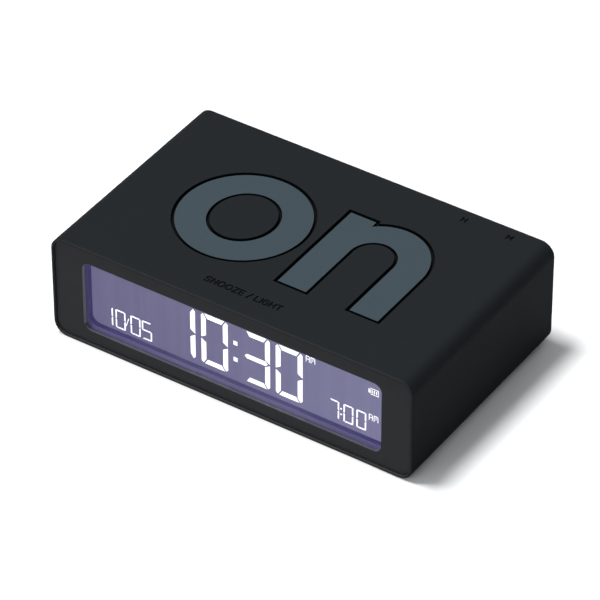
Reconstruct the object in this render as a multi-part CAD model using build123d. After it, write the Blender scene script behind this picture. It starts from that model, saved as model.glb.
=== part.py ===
"""Travel alarm clock: a flat sleeve that is turned over to switch its alarm on or off.

Millimetres. X runs along the width, Y from the display (-Y) to the rear, Z up.
The origin is the centre of the footprint, on the face that the clock rests on.
"""

import os
from math import atan2, degrees

from build123d import *

# ---- driving dimensions -----------------------------------------------------------------
WIDTH = 83.0
DEPTH = 51.2
HEIGHT = 23.8
CORNER = 3.1  # radius of the sleeve's four long edges
WALL = 1.9
RIM = 0.6  # thickness of the sleeve's rim round the bezel and the rear cover
SEAM = 0.12  # open gap between the rim and the plate inside it
SETBACK = 0.4  # how far the two end plates sit inside the rims
MOUTH = 2.6  # depth of each rebate that takes an end plate

FRONT = -DEPTH / 2
REAR = DEPTH / 2
MID = HEIGHT / 2  # height of the middle plane: the clock works either way up

WINDOW = (68.8, 16.5, 1.8)  # width, height, corner radius
LIP = 0.85  # bezel thickness in front of the lens tape
TAPE = 0.1
LENS = (71.0, 18.4, 2.2)
LENS_THICK = 1.2

LEDGE_FRONT = FRONT + MOUTH
LEDGE_REAR = REAR - MOUTH
BEZEL_FACE = FRONT + SETBACK
COVER_FACE = REAR - SETBACK
INNER_X = WIDTH / 2 - WALL
INNER_Z = HEIGHT / 2 - WALL

# lettering: pads let into pockets, with an open groove round each pad
POCKET_DEEP = 0.9
PAD_THICK = 0.8
GROOVE = 0.35  # half the groove's width, taken off the pad and added to the pocket

# small engraved labels on the upper face
LABEL_DEEP = 0.22
LABEL_STROKE = 0.36
LABEL_GAP = 0.48
TOUCH_LABEL = (1.45, 0.86)  # height of the letters, and how wide they are drawn
BUTTON_LABEL = (1.2, 0.78)

# display stack, from the front
SPACER = 1.1
SPACER_SIZE = (73.0, 19.6, 0.6)  # reaches past what can be seen through the lens's edge
FILM = 0.2
FILM_SIZE = (70.4, 17.4, 1.6)
GLASS = 0.7
GLASS_SIZE = (73.0, 17.9)
REAR_GLASS_HIGH = 14.9
GUIDE_THICK = 2.0
GUIDE_SIZE = (70.8, 14.6)
REFLECTOR = 0.15
BOARD_THICK = 1.2

FILM_Y = LEDGE_FRONT + SPACER
DISPLAY_Y = FILM_Y + FILM  # front face of the front glass
REAR_GLASS_Y = DISPLAY_Y + GLASS
REAR_FILM_Y = REAR_GLASS_Y + GLASS
GUIDE_Y = REAR_FILM_Y + FILM
GUIDE_BACK_Y = GUIDE_Y + GUIDE_THICK
HOLDER_WALL_Y = GUIDE_BACK_Y + REFLECTOR + 0.05
BOARD_Y = HOLDER_WALL_Y + 1.0
BOARD_BACK_Y = BOARD_Y + BOARD_THICK

# battery bay: two AAA cells, one behind the other, loaded through the rear door
CELL_R = 5.25
CELL_LONG = 44.5
NUB_R = 1.9
NUB_LONG = 0.8
BAY_X = (-36.9, 13.3)
BAY_Y = (2.8, LEDGE_REAR)
BAY_HALF = 5.45
BAY_WALL = 1.2
CELL_FRONT_Y = 8.1
CELL_REAR_Y = 18.65
CONTACT = 0.4

# battery door, in a rebate of the rear cover
DOOR_THICK = 1.2
DOOR_X = (-38.1, 14.5)
DOOR_HALF = 5.9
DOOR_PLAY = 0.1
DOOR_IN_Y = COVER_FACE - DOOR_THICK
TAB_Z = (2.4, 4.4)  # the two hinge tabs, measured from the middle plane
TAB_OUT = 1.1
TAB_THICK = 0.85
LATCH_HALF = 2.0

# rear buttons
BUTTONS = {
    "hour": (22.7, MID + 4.6),
    "minute": (33.0, MID + 4.6),
    "set": (27.95, MID - 4.6),
}
CAP = (6.4, 3.6)
CAP_PLAY = 0.15
FLANGE = (7.8, 5.0)
FLANGE_THICK = 0.5
CAP_PROUD = 0.2
SWITCH_SIDE = 5.2
SWITCH_TALL = 3.5
BUTTON_BOARD_Y = 17.0
SWITCH_Y = BUTTON_BOARD_Y + BOARD_THICK
SWITCH_TOP_Y = SWITCH_Y + SWITCH_TALL
PLUNGER_R = 1.7
PLUNGER_TIP_Y = 22.4
PLUNGER_LONG = 1.6
PRESS = 0.6  # how far a rear button goes in
BUTTON_BOARD = (18.4, 17.6, 0.8)
BUTTON_BOARD_X = 28.0
POSTS = [(27.95, MID + 5.0), (20.6, MID - 5.5), (35.2, MID - 5.5)]
POST_R = 1.6

BOARD_SCREWS = [(x, MID + s) for x in (-37.5, 37.5) for s in (-6.5, 6.5)]
COVER_SCREWS = [(x, z) for x in (-37.6, 37.6) for z in (4.0, HEIGHT - 4.0)]
BOSS_R = 1.8
SCREW_R = 0.8
HEAD_R = 1.6
HEAD_THICK = 1.0

# tilt switch: a ball that rolls to whichever end of its can is lower
TILT_X, TILT_Y = -24.0, -12.9
TILT_R = 2.5
TILT_WALL = 0.4
TILT_HALF = 3.6
BALL_R = 1.9

SOUND_X = 17.3  # the column of sound holes in the rear cover
BUZZER_X, BUZZER_Y = -12.0, 12.2
BUZZER_R = 10.2


# ---- shorthand --------------------------------------------------------------------------
def block(x, y, z):
    """A box between pairs of limits."""
    size = [b - a for a, b in (x, y, z)]
    middle = [(a + b) / 2 for a, b in (x, y, z)]
    return Pos(*middle) * Box(*size)


def facing_rear(x, y, z):
    """A work plane whose normal runs to the rear."""
    return Plane(origin=(x, y, z), x_dir=(1, 0, 0), z_dir=(0, 1, 0))


def slab(size, y, x=0.0, z=MID):
    """A rounded rectangle, width by height by radius, between two depths."""
    return extrude(facing_rear(x, y[0], z) * RectangleRounded(*size), y[1] - y[0])


def pill(size, y, x, z):
    """A round-ended bar standing on the X-Z plane between two depths."""
    return extrude(facing_rear(x, y[0], z) * SlotOverall(*size), y[1] - y[0])


def rod(radius, y, x, z):
    """A cylinder along Y."""
    return extrude(facing_rear(x, y[0], z) * Circle(radius), y[1] - y[0])


def column(radius, z, x, y):
    """A cylinder along Z."""
    return extrude(Pos(x, y, z[0]) * Circle(radius), z[1] - z[0])


def end_plate_size(inset):
    """Width, height and radius of the sleeve's outline, drawn in by an inset."""
    return (WIDTH - 2 * inset, HEIGHT - 2 * inset, CORNER - inset)


# ---- lettering --------------------------------------------------------------------------
STROKE = 7.0
LINE_Y = 12.2 + FRONT  # the line that the letters of "on" stand on
SMALL = 0.72  # "off" is the same lettering, smaller, so that its tall letters fit


def letter_o(grow, x, y, rx, ry, stroke):
    """A ring, wider by grow on every side."""
    hole = Ellipse(rx - stroke - grow, ry - stroke * 0.93 - grow)
    return Pos(x, y) * (Ellipse(rx + grow, ry + grow) - hole)


def rect(x0, x1, y0, y1):
    return Pos((x0 + x1) / 2, (y0 + y1) / 2) * Rectangle(x1 - x0, y1 - y0)


def letter_n(grow):
    """A stem and an arch, drawn with half ellipses."""
    stem_x = (2.67, 9.8)
    leg_x = (18.95, 26.0)
    shoulder_y = 28.0 + FRONT
    arch = Pos(15.4, shoulder_y) * Ellipse(10.6 + grow, 11.5 + grow)
    arch &= rect(8.0, 30.0, shoulder_y, REAR)
    legs = rect(stem_x[0] - grow, leg_x[1] + grow, LINE_Y - grow, shoulder_y)
    stem = rect(stem_x[0] - grow, 9.2 + grow, LINE_Y - grow, 38.55 + FRONT + grow)
    middle = (stem_x[1] + leg_x[0]) / 2
    inside = rect(stem_x[1] + grow, leg_x[0] - grow, FRONT, shoulder_y)
    half = (leg_x[0] - stem_x[1]) / 2 - grow
    inside += Pos(middle, shoulder_y) * Ellipse(half, 4.9 - grow)
    return (arch + legs - inside) + stem


def letter_f(grow, x):
    """A stem with a hooked top and a crossbar."""
    stroke = STROKE * SMALL
    foot = 10.6 + FRONT
    top = foot + 30.0
    bend = 8.4  # outer radius of the hook
    stem = rect(x - grow, x + stroke + grow, foot - grow, top - bend)
    ring = Circle(bend + grow) - Circle(bend - stroke - grow)
    hook = Pos(x + bend, top - bend) * (ring & rect(-bend - 1, 0, 0, bend + 1))
    tip = rect(x + bend, x + bend + 2.6 + grow, top - stroke - grow, top + grow)
    bar_y = foot + 19.8 * SMALL + 2.8
    bar = rect(x - 2.8 - grow, x + stroke + 4.0 + grow, bar_y - grow, bar_y + 4.4 + grow)
    return stem + hook + tip + bar


def on_letters(grow):
    """The letters of the upper face."""
    o = letter_o(grow, -13.5, 25.5 + FRONT, 13.85, 14.05, STROKE)
    return {"inlay_on_o": o, "inlay_on_n": letter_n(grow)}


def off_letters(grow):
    """The letters of the lower face, before they are turned over."""
    radius = 14.0 * SMALL
    centre_y = 10.4 + radius + FRONT
    o = letter_o(grow, -15.6, centre_y, radius, radius + 0.1, STROKE * SMALL)
    first, second = letter_f(grow, -1.4), letter_f(grow, 13.6)
    return {"inlay_off_o": o, "inlay_off_f1": first, "inlay_off_f2": second}


def turned_over(solid):
    """What lies on the upper face, on the lower face after half a turn about Y."""
    return Pos(0, 0, HEIGHT) * Rot(0, 180, 0) * solid


# ---- small labels -----------------------------------------------------------------------
OCTAGON = [(0.3, 0), (0.7, 0), (1, 0.3), (1, 0.7), (0.7, 1), (0.3, 1), (0, 0.7), (0, 0.3), (0.3, 0)]
S_TOP = [(0.95, 0.85), (0.75, 1), (0.25, 1), (0.05, 0.85), (0.05, 0.67), (0.25, 0.54)]
S_LOW = [(0.75, 0.46), (0.95, 0.33), (0.95, 0.15), (0.75, 0), (0.25, 0), (0.05, 0.15)]
G_BOW = [(0.93, 0.82), (0.7, 1), (0.3, 1), (0, 0.7), (0, 0.3), (0.3, 0), (0.7, 0), (1, 0.25)]

# letter: width in millimetres, then its strokes in units of its width and height
GLYPHS = {
    " ": (0.1, []),
    "/": (0.75, [[(0, -0.05), (1, 1.05)]]),
    "E": (0.95, [[(1, 1), (0, 1), (0, 0), (1, 0)], [(0, 0.5), (0.9, 0.5)]]),
    "G": (1.3, [G_BOW + [(1, 0.48), (0.55, 0.48)]]),
    "H": (1.15, [[(0, 0), (0, 1)], [(1, 0), (1, 1)], [(0, 0.5), (1, 0.5)]]),
    "I": (0.0, [[(0, 0), (0, 1)]]),
    "L": (0.95, [[(0, 1), (0, 0), (1, 0)]]),
    "M": (1.35, [[(0, 0), (0, 1), (0.5, 0.3), (1, 1), (1, 0)]]),
    "N": (1.2, [[(0, 0), (0, 1), (1, 0), (1, 1)]]),
    "O": (1.4, [OCTAGON]),
    "S": (1.15, [S_TOP + S_LOW]),
    "T": (1.15, [[(0, 1), (1, 1)], [(0.5, 1), (0.5, 0)]]),
    "Z": (1.15, [[(0, 1), (1, 1), (0, 0), (1, 0)]]),
}


def stroke(start, end):
    """One round-ended stroke of a small letter."""
    a, b = Vector(*start), Vector(*end)
    run = b - a
    angle = degrees(atan2(run.Y, run.X))
    middle = (a + b) * 0.5
    return Pos(middle.X, middle.Y) * Rot(0, 0, angle) * SlotCenterToCenter(run.length, LABEL_STROKE)


def label(text, x, y, cap, wide):
    """A line of small letters centred on a point; cap is their height, wide scales their width."""
    widths = [GLYPHS[c][0] * wide for c in text]
    left = x - (sum(widths) + LABEL_GAP * (len(text) - 1)) / 2
    made = []
    for c, width in zip(text, widths):
        for line in GLYPHS[c][1]:
            spots = [(left + u * width, y + (v - 0.5) * cap) for u, v in line]
            made += [stroke(a, b) for a, b in zip(spots, spots[1:])]
        left += width + LABEL_GAP
    return Sketch() + made


def labels():
    """The touch label near the front edge and the two button labels near the rear edge."""
    yield label("SNOOZE / LIGHT", -0.15, FRONT + 5.6, *TOUCH_LABEL)
    yield label("H", BUTTONS["hour"][0], FRONT + 48.2, *BUTTON_LABEL)
    yield label("M", BUTTONS["minute"][0], FRONT + 48.2, *BUTTON_LABEL)


def pads():
    """Every letter as a pad, at its place in the sleeve."""
    low = HEIGHT - POCKET_DEEP
    made = {}
    for name, face in on_letters(-GROOVE).items():
        made[name] = extrude(Pos(0, 0, low) * face, PAD_THICK)
    for name, face in off_letters(-GROOVE).items():
        made[name] = turned_over(extrude(Pos(0, 0, low) * face, PAD_THICK))
    return made


# ---- casing -----------------------------------------------------------------------------
FINGER_X = (38.3, 39.3)
FINGER_HALF = 2.0
BARB_OUT = 0.6
BARB_Y = (-19.4, -18.4)


def sleeve():
    """The casing: a tube with a rebate at each end and pockets for the lettering."""
    body = slab(end_plate_size(0), (FRONT, REAR))
    ends = body.edges().filter_by(lambda e: abs(abs(e.center().Y) - REAR) < 1e-3)
    body = fillet(ends, 0.35)
    body -= slab((2 * INNER_X, 2 * INNER_Z, CORNER - WALL), (FRONT - 1, REAR + 1))
    for y in ((FRONT - 1, LEDGE_FRONT), (LEDGE_REAR, REAR + 1)):
        body -= slab(end_plate_size(RIM), y)
    low = HEIGHT - POCKET_DEEP
    for face in on_letters(GROOVE).values():
        body -= extrude(Pos(0, 0, low) * face, POCKET_DEEP + 1)
    for face in off_letters(GROOVE).values():
        body -= turned_over(extrude(Pos(0, 0, low) * face, POCKET_DEEP + 1))
    for face in labels():
        body -= extrude(Pos(0, 0, HEIGHT - LABEL_DEEP) * face, LABEL_DEEP + 1)
    for side in (-1, 1):
        reach = sorted((side * (INNER_X - 0.1), side * (INNER_X + 0.7)))
        band = (MID - FINGER_HALF - 0.2, MID + FINGER_HALF + 0.2)
        body -= block(reach, (BARB_Y[0] - 0.2, BARB_Y[1] + 0.2), band)
    return body


def front_bezel():
    """The front frame, with a lens rebate behind its window and two snap fingers."""
    plate = slab(end_plate_size(RIM + SEAM), (BEZEL_FACE, LEDGE_FRONT))
    plate = fillet(plate.faces().sort_by(Axis.Y)[0].edges(), 0.25)
    opening = slab(WINDOW, (BEZEL_FACE - 1, LEDGE_FRONT + 1))
    pocket = (LENS[0] + 0.2, LENS[1] + 0.2, LENS[2] + 0.1)
    plate -= opening + slab(pocket, (BEZEL_FACE + LIP, LEDGE_FRONT + 1))
    band = (MID - FINGER_HALF, MID + FINGER_HALF)
    for side in (-1, 1):
        arm = sorted((side * FINGER_X[0], side * FINGER_X[1]))
        barb = sorted((side * FINGER_X[1], side * (FINGER_X[1] + BARB_OUT)))
        plate += block(arm, (LEDGE_FRONT - 0.5, BARB_Y[1]), band)
        plate += block(barb, BARB_Y, band)
    return plate


def lens_tape():
    front = BEZEL_FACE + LIP
    ring = slab(LENS, (front, front + TAPE))
    hole = (WINDOW[0] + 0.1, WINDOW[1] + 0.1, WINDOW[2])
    return ring - slab(hole, (front - 1, front + 1))


def display_lens():
    front = BEZEL_FACE + LIP + TAPE
    return slab(LENS, (front, front + LENS_THICK))


def tab_bands():
    """Height limits of the door's two hinge tabs."""
    return [(MID + s * a, MID + s * b) for s, (a, b) in ((1, TAB_Z), (-1, TAB_Z[::-1]))]


def rear_cover():
    """The rear plate: door rebate, battery opening, button holes and screw seats."""
    plate = slab(end_plate_size(RIM + SEAM), (LEDGE_REAR, COVER_FACE))
    plate = fillet(plate.faces().sort_by(Axis.Y)[-1].edges(), 0.25)
    play = DOOR_PLAY
    rebate_x = (DOOR_X[0] - play, DOOR_X[1] + play)
    rebate_z = (MID - DOOR_HALF - play, MID + DOOR_HALF + play)
    plate -= block(rebate_x, (DOOR_IN_Y, REAR), rebate_z)
    plate -= block(BAY_X, (LEDGE_REAR - 1, REAR), (MID - BAY_HALF, MID + BAY_HALF))
    for low, high in tab_bands():
        slot_x = (DOOR_X[0] - TAB_OUT - 0.4, BAY_X[0] + 0.1)
        plate -= block(slot_x, (LEDGE_REAR - 1, DOOR_IN_Y), (low - 0.2, high + 0.2))
    latch_x = (BAY_X[1] - 0.1, DOOR_X[1] + 0.1)
    latch_z = (MID - LATCH_HALF - 0.3, MID + LATCH_HALF + 0.3)
    plate -= block(latch_x, (LEDGE_REAR - 1, DOOR_IN_Y), latch_z)
    for x, z in BUTTONS.values():
        hole = (CAP[0] + 2 * CAP_PLAY, CAP[1] + 2 * CAP_PLAY)
        plate -= pill(hole, (LEDGE_REAR - 1, REAR), x, z)
    for x, z in COVER_SCREWS:
        plate -= rod(SCREW_R + 0.2, (LEDGE_REAR - 1, REAR), x, z)
        plate -= rod(HEAD_R + 0.2, (COVER_FACE - 1.2, REAR), x, z)
    for step in range(-2, 3):
        plate -= rod(0.5, (LEDGE_REAR - 1, REAR), SOUND_X, MID + 1.9 * step)
    return plate


def battery_door():
    """The door: two tabs at one end to swing on, a latch tongue and a thumb scoop."""
    door = block(DOOR_X, (DOOR_IN_Y, COVER_FACE), (MID - DOOR_HALF, MID + DOOR_HALF))
    corners = door.edges().filter_by(Axis.Y)
    door = fillet(corners, 0.4)
    for low, high in tab_bands():
        tab_x = (DOOR_X[0] - TAB_OUT, BAY_X[0])
        door += block(tab_x, (DOOR_IN_Y - TAB_THICK, DOOR_IN_Y), (low, high))
        # the tab stands clear of the cover's lip by a hair
        lip_x = (tab_x[0] - 1, DOOR_X[0])
        door -= block(lip_x, (DOOR_IN_Y - 0.05, DOOR_IN_Y + 1), (low - 1, high + 1))
    latch_z = (MID - LATCH_HALF, MID + LATCH_HALF)
    door += block((BAY_X[1] + 0.2, DOOR_X[1]), (DOOR_IN_Y - 0.9, DOOR_IN_Y), latch_z)
    for side in (-1, 1):
        slit_z = sorted((MID + side * 2.2, MID + side * 2.7))
        door -= block((DOOR_X[1] - 5.0, REAR), (DOOR_IN_Y - 1, REAR), slit_z)
    scoop_y = COVER_FACE + 2.6
    scoop = Pos(DOOR_X[1] - 2.6, scoop_y, MID) * Rot(90, 0, 0) * Sphere(3.2)
    return door - scoop


def chassis():
    """The inner frame: battery bay, two rails to the board, posts and screw bosses."""
    outer = BAY_HALF + BAY_WALL
    band = (MID - outer, MID + outer)
    bay_x = (BAY_X[0] - BAY_WALL, BAY_X[1] + BAY_WALL)
    body = block(bay_x, (BAY_Y[0] - BAY_WALL, BAY_Y[1]), band)
    body -= block(BAY_X, (BAY_Y[0], BAY_Y[1] + 1), (MID - BAY_HALF, MID + BAY_HALF))
    body += block((BAY_X[1], 39.2), (BAY_Y[0] - BAY_WALL, BAY_Y[0]), band)
    body += block((37.6, 39.2), (BOARD_BACK_Y, LEDGE_REAR), band)
    body += block((-39.3, -38.1), (BOARD_BACK_Y, BAY_Y[0] + 1), band)
    for x, z in COVER_SCREWS:
        body += rod(BOSS_R, (13.0, LEDGE_REAR), x, z)
        # each boss is tied to the rail or bay wall beside it
        inward = MID + (outer - 0.6 if z > MID else 0.6 - outer)
        body += block((x - 0.8, x + 0.8), (13.0, LEDGE_REAR), sorted((z, inward)))
    for x, z in POSTS:
        body += rod(POST_R, (BAY_Y[0], BUTTON_BOARD_Y), x, z)
    ring = column(BUZZER_R + 0.9, (MID + outer, 20.6), BUZZER_X, BUZZER_Y)
    ring -= column(BUZZER_R + 0.1, (19.9, 21.0), BUZZER_X, BUZZER_Y)
    ring -= column(BUZZER_R - 0.9, (MID + outer, 21.0), BUZZER_X, BUZZER_Y)
    way_out = (BUZZER_Y - BUZZER_R - 2, BUZZER_Y - BUZZER_R + 2)
    ring -= block((BUZZER_X - 1.5, BUZZER_X + 1.5), way_out, (20.2, 21.0))
    body += ring & block((-60, 60), (-20, LEDGE_REAR), (0, HEIGHT))
    for low, high in tab_bands():
        notch_x = (BAY_X[0] - BAY_WALL - 1, BAY_X[0] + 0.1)
        body -= block(notch_x, (LEDGE_REAR - 0.4, REAR), (low - 0.2, high + 0.2))
    for x, z in BOARD_SCREWS:
        body -= rod(1.4, (BOARD_BACK_Y - 1, BOARD_BACK_Y + 1.0), x, z)
    for x, z in COVER_SCREWS:
        body -= rod(SCREW_R + 0.05, (15.0, REAR), x, z)
    for x, z in POSTS:
        body -= rod(0.65, (BUTTON_BOARD_Y - 5.0, REAR), x, z)
    # slots that the contact leads leave by
    for y in (CELL_FRONT_Y, CELL_REAR_Y):
        body -= block((BAY_X[1] - 0.1, bay_x[1] + 0.1), (y - 1.0, y + 1.0), (MID + 4.0, 20.0))
    return body


def cross_recess(y, x, z):
    """The driver recess of a screw head, cut from its outer face."""
    across = block((x - 0.9, x + 0.9), (y - 0.6, y + 0.1), (z - 0.18, z + 0.18))
    return across + block((x - 0.18, x + 0.18), (y - 0.6, y + 0.1), (z - 0.9, z + 0.9))


def rear_cover_screws():
    seat = COVER_FACE - 1.2
    made = []
    for x, z in COVER_SCREWS:
        head = rod(HEAD_R, (seat, seat + HEAD_THICK), x, z)
        head = fillet(head.faces().sort_by(Axis.Y)[-1].edges(), 0.35)
        shank = rod(SCREW_R, (16.0, seat), x, z)
        made.append(head + shank - cross_recess(seat + HEAD_THICK, x, z))
    return made


# ---- display ----------------------------------------------------------------------------
def display_spacer():
    """The frame between the lens and the glass: the side walls seen through the window."""
    front = LEDGE_FRONT + 0.02
    return slab(SPACER_SIZE, (front, FILM_Y)) - slab(WINDOW, (front - 1, FILM_Y + 1))


def polariser_front():
    return slab(FILM_SIZE, (FILM_Y, DISPLAY_Y))


def plate(width, height, y):
    """A square-cornered sheet parallel to the display."""
    return block((-width / 2, width / 2), y, (MID - height / 2, MID + height / 2))


def zebra_strips():
    made = []
    for side in (-1, 1):
        z = sorted((MID + side * 7.55, MID + side * 8.85))
        made.append(block((-33.0, 33.0), (REAR_GLASS_Y, BOARD_Y), z))
    return made


def backlight_leds():
    made = []
    for side in (-1, 1):
        x = sorted((side * GUIDE_SIZE[0] / 2, side * 36.5))
        made.append(block(x, (GUIDE_Y + 0.2, GUIDE_BACK_Y - 0.2), (MID - 1.5, MID + 1.5)))
    return made


def finger_notch(shape):
    """Clears a shape's sides where the bezel's snap fingers pass."""
    band = (MID - FINGER_HALF - 0.4, MID + FINGER_HALF + 0.4)
    for side in (-1, 1):
        x = sorted((side * (FINGER_X[0] - 0.2), side * 45))
        shape -= block(x, (FRONT, 0), band)
    return shape


def lcd_holder():
    """The frame that squares up the glass, the light guide and the rubber strips."""
    y0 = DISPLAY_Y + 0.05
    frame = plate(77.8, 19.7, (y0, BOARD_Y))
    frame -= plate(GLASS_SIZE[0] + 0.3, GLASS_SIZE[1] + 0.2, (y0 - 1, REAR_GLASS_Y))
    frame -= plate(GLASS_SIZE[0] + 0.3, REAR_GLASS_HIGH + 0.1, (y0, HOLDER_WALL_Y))
    for side in (-1, 1):
        z = sorted((MID + side * 7.4, MID + side * 8.9))
        frame -= block((-33.2, 33.2), (REAR_GLASS_Y - 0.1, BOARD_Y + 1), z)
    for x, z in BOARD_SCREWS:
        frame -= rod(0.6, (BOARD_Y - 3.0, BOARD_Y + 1), x, z)
    return finger_notch(frame)


# ---- electronics ------------------------------------------------------------------------
def main_board():
    board = plate(77.6, 19.0, (BOARD_Y, BOARD_BACK_Y))
    for x, z in BOARD_SCREWS:
        board -= rod(0.7, (BOARD_Y - 1, BOARD_BACK_Y + 1), x, z)
    return finger_notch(board)


def board_screws():
    """The small screws of both boards."""
    made = []
    for x, z in BOARD_SCREWS:
        head = rod(1.1, (BOARD_BACK_Y, BOARD_BACK_Y + 0.7), x, z)
        made.append(head + rod(0.55, (BOARD_Y - 2.8, BOARD_BACK_Y), x, z))
    top = SWITCH_Y
    for x, z in POSTS:
        head = rod(1.3, (top, top + 0.8), x, z) + rod(0.6, (top - 5.0, top), x, z)
        made.append(head - cross_recess(top + 1.1, x, z))
    return made


def clock_chip():
    """The potted clock chip: a low dome of resin."""
    dome = Pos(-4.0, BOARD_BACK_Y - 7.6, MID) * Sphere(9.2)
    return dome & block((-20, 20), (BOARD_BACK_Y, BOARD_BACK_Y + 3), (0, HEIGHT))


def quartz_crystal():
    y, z = BOARD_BACK_Y + 1.05, MID + 5.2
    can = Pos(7.0, y, z) * Rot(0, 90, 0) * Cylinder(1.0, 6.0)
    for dz in (-0.4, 0.4):
        can += block((9.9, 11.5), (y - 0.15, y + 0.15), (z + dz - 0.15, z + dz + 0.15))
        can += block((11.2, 11.5), (BOARD_BACK_Y, y), (z + dz - 0.15, z + dz + 0.15))
    return can


def chips(spots, size):
    """Surface-mounted parts of one size on the rear of the main board."""
    dx, dy, dz = size
    made = []
    for x, z in spots:
        limits_z = (MID + z - dz / 2, MID + z + dz / 2)
        made.append(block((x - dx / 2, x + dx / 2), (BOARD_BACK_Y, BOARD_BACK_Y + dy), limits_z))
    return made


def chip_capacitors():
    spots = [(x, z) for x in (-13.0, 14.5) for z in (-5.0, -2.0, 3.0)]
    return chips(spots, (1.6, 0.8, 0.8))


def chip_resistors():
    spots = [(x, z) for x in (-16.5, 18.0, 21.0) for z in (-5.5, -2.0, 1.5)]
    return chips(spots, (2.0, 0.5, 1.2))


def reservoir_capacitor():
    x, z = 8.5, MID - 4.5
    can = rod(2.0, (BOARD_BACK_Y + 0.6, BOARD_BACK_Y + 6.0), x, z)
    can = fillet(can.faces().sort_by(Axis.Y)[-1].edges(), 0.4)
    return can + block((x - 2.2, x + 2.2), (BOARD_BACK_Y, BOARD_BACK_Y + 0.6), (z - 2.2, z + 2.2))


def tilt_can():
    shell = column(TILT_R, (MID - TILT_HALF, MID + TILT_HALF), TILT_X, TILT_Y)
    bore = (MID - TILT_HALF - 1, MID + TILT_HALF - TILT_WALL)
    return shell - column(TILT_R - TILT_WALL, bore, TILT_X, TILT_Y)


def tilt_base():
    """The insulating end of the tilt switch, with the two legs soldered to the board."""
    top = MID - TILT_HALF
    base = column(TILT_R, (top - 0.6, top), TILT_X, TILT_Y)
    base += column(TILT_R - TILT_WALL - 0.05, (top, top + 0.4), TILT_X, TILT_Y)
    for dx in (-1.0, 1.0):
        x = (TILT_X + dx - 0.2, TILT_X + dx + 0.2)
        base += block(x, (BOARD_BACK_Y, TILT_Y), (top - 0.8, top - 0.4))
    return base


def tilt_ball():
    rest = MID - TILT_HALF + 0.4 + BALL_R + 0.02
    return Pos(TILT_X, TILT_Y, rest) * Sphere(BALL_R)


def buzzer_plate():
    return column(BUZZER_R, (19.92, 20.15), BUZZER_X, BUZZER_Y)


def buzzer_ceramic():
    return column(7.0, (20.15, 20.35), BUZZER_X, BUZZER_Y)


def both_ways_up(solid):
    """A solid and its twin for use with the clock turned over."""
    return [solid, turned_over(solid)]


PLATE_Z = HEIGHT - WALL - 0.2


def touch_plates():
    """The sensing electrodes under the two large faces."""
    return both_ways_up(block((-12.0, 12.0), (-15.5, -6.5), (PLATE_Z, HEIGHT - WALL)))


def touch_contacts():
    """Bent strips from the main board to the electrodes."""
    x = (0.0, 3.0)
    y0 = BOARD_BACK_Y
    strip = block(x, (y0, y0 + 0.25), (17.6, 20.9))
    strip += block(x, (y0, y0 + 6.0), (20.65, 20.9))
    strip += block(x, (y0 + 5.75, y0 + 6.0), (20.65, PLATE_Z))
    return both_ways_up(strip)


# ---- battery ----------------------------------------------------------------------------
PLATE_IN_LEFT = BAY_X[0] + CONTACT
PLATE_IN_RIGHT = BAY_X[1] - CONTACT


def cell(y, nub_x, way):
    """An AAA cell lying along X; its nub touches nub_x and its body runs the other way."""
    shoulder = nub_x + way * NUB_LONG
    far = nub_x + way * CELL_LONG
    body_x = sorted((shoulder, far))
    middle = sum(body_x) / 2
    can = Pos(middle, y, MID) * Rot(0, 90, 0) * Cylinder(CELL_R, body_x[1] - body_x[0])
    rims = can.edges().filter_by(GeomType.CIRCLE)
    can = fillet(rims, 0.5)
    nub = Pos((nub_x + shoulder) / 2, y, MID) * Rot(0, 90, 0) * Cylinder(NUB_R, NUB_LONG)
    return can + nub


def contact(x, y):
    return block(x, y, (MID - 4.4, MID + 4.4))


def contact_bridge():
    """Joins the front cell's spring to the rear cell's nub."""
    return contact((BAY_X[0], PLATE_IN_LEFT), (4.2, 22.4))


def lead_tag(y):
    """The tag that carries a contact through the bay wall."""
    x = (PLATE_IN_RIGHT, BAY_X[1] + BAY_WALL + 0.8)
    return block(x, (y - 0.8, y + 0.8), (MID + 4.1, MID + 4.4))


def contact_positive():
    return contact((PLATE_IN_RIGHT, BAY_X[1]), (4.4, 12.2)) + lead_tag(CELL_FRONT_Y)


def contact_negative():
    return contact((PLATE_IN_RIGHT, BAY_X[1]), (14.4, 22.4)) + lead_tag(CELL_REAR_Y)


def contact_spring(y, plate_x, cell_x):
    """A coil from a contact plate to the flat end of a cell."""
    wire = 0.28
    way = 1 if cell_x > plate_x else -1
    length = abs(cell_x - plate_x) - 2 * wire - 0.1
    path = Helix(pitch=length / 3, height=length, radius=3.3)
    profile = Plane(origin=path @ 0, z_dir=path % 0) * Circle(wire)
    coil = sweep(profile, path=path, is_frenet=True)
    start = plate_x + way * (wire + 0.05)
    return Pos(start, y, MID) * Rot(0, 90 * way, 0) * coil


def contact_springs():
    front = contact_spring(CELL_FRONT_Y, PLATE_IN_LEFT, PLATE_IN_RIGHT - CELL_LONG)
    rear = contact_spring(CELL_REAR_Y, PLATE_IN_RIGHT, PLATE_IN_LEFT + CELL_LONG)
    return [front, rear]


def wire(points, radius, bend):
    """An insulated lead: straight runs joined by tangent arcs."""
    path = FilletPolyline(*points, radius=bend)
    profile = Plane(origin=path @ 0, z_dir=path % 0) * Circle(radius)
    return sweep(profile, path=path)


def power_wire(y, board_x):
    """A lead from a contact's tag forward to the main board, under the sleeve's top wall."""
    tag_x = BAY_X[1] + BAY_WALL + 0.5
    z = MID + 4.9
    points = [
        (tag_x, y, z),
        (tag_x + 2.6, y - 0.6, z + 1.6),
        (board_x, y - 5.0, 20.0),
        (board_x, -8.0, 20.0),
        (board_x, BOARD_BACK_Y + 4.0, MID + 7.2),
        (board_x, BOARD_BACK_Y, MID + 7.0),
    ]
    return wire(points, 0.4, 1.0)


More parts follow.
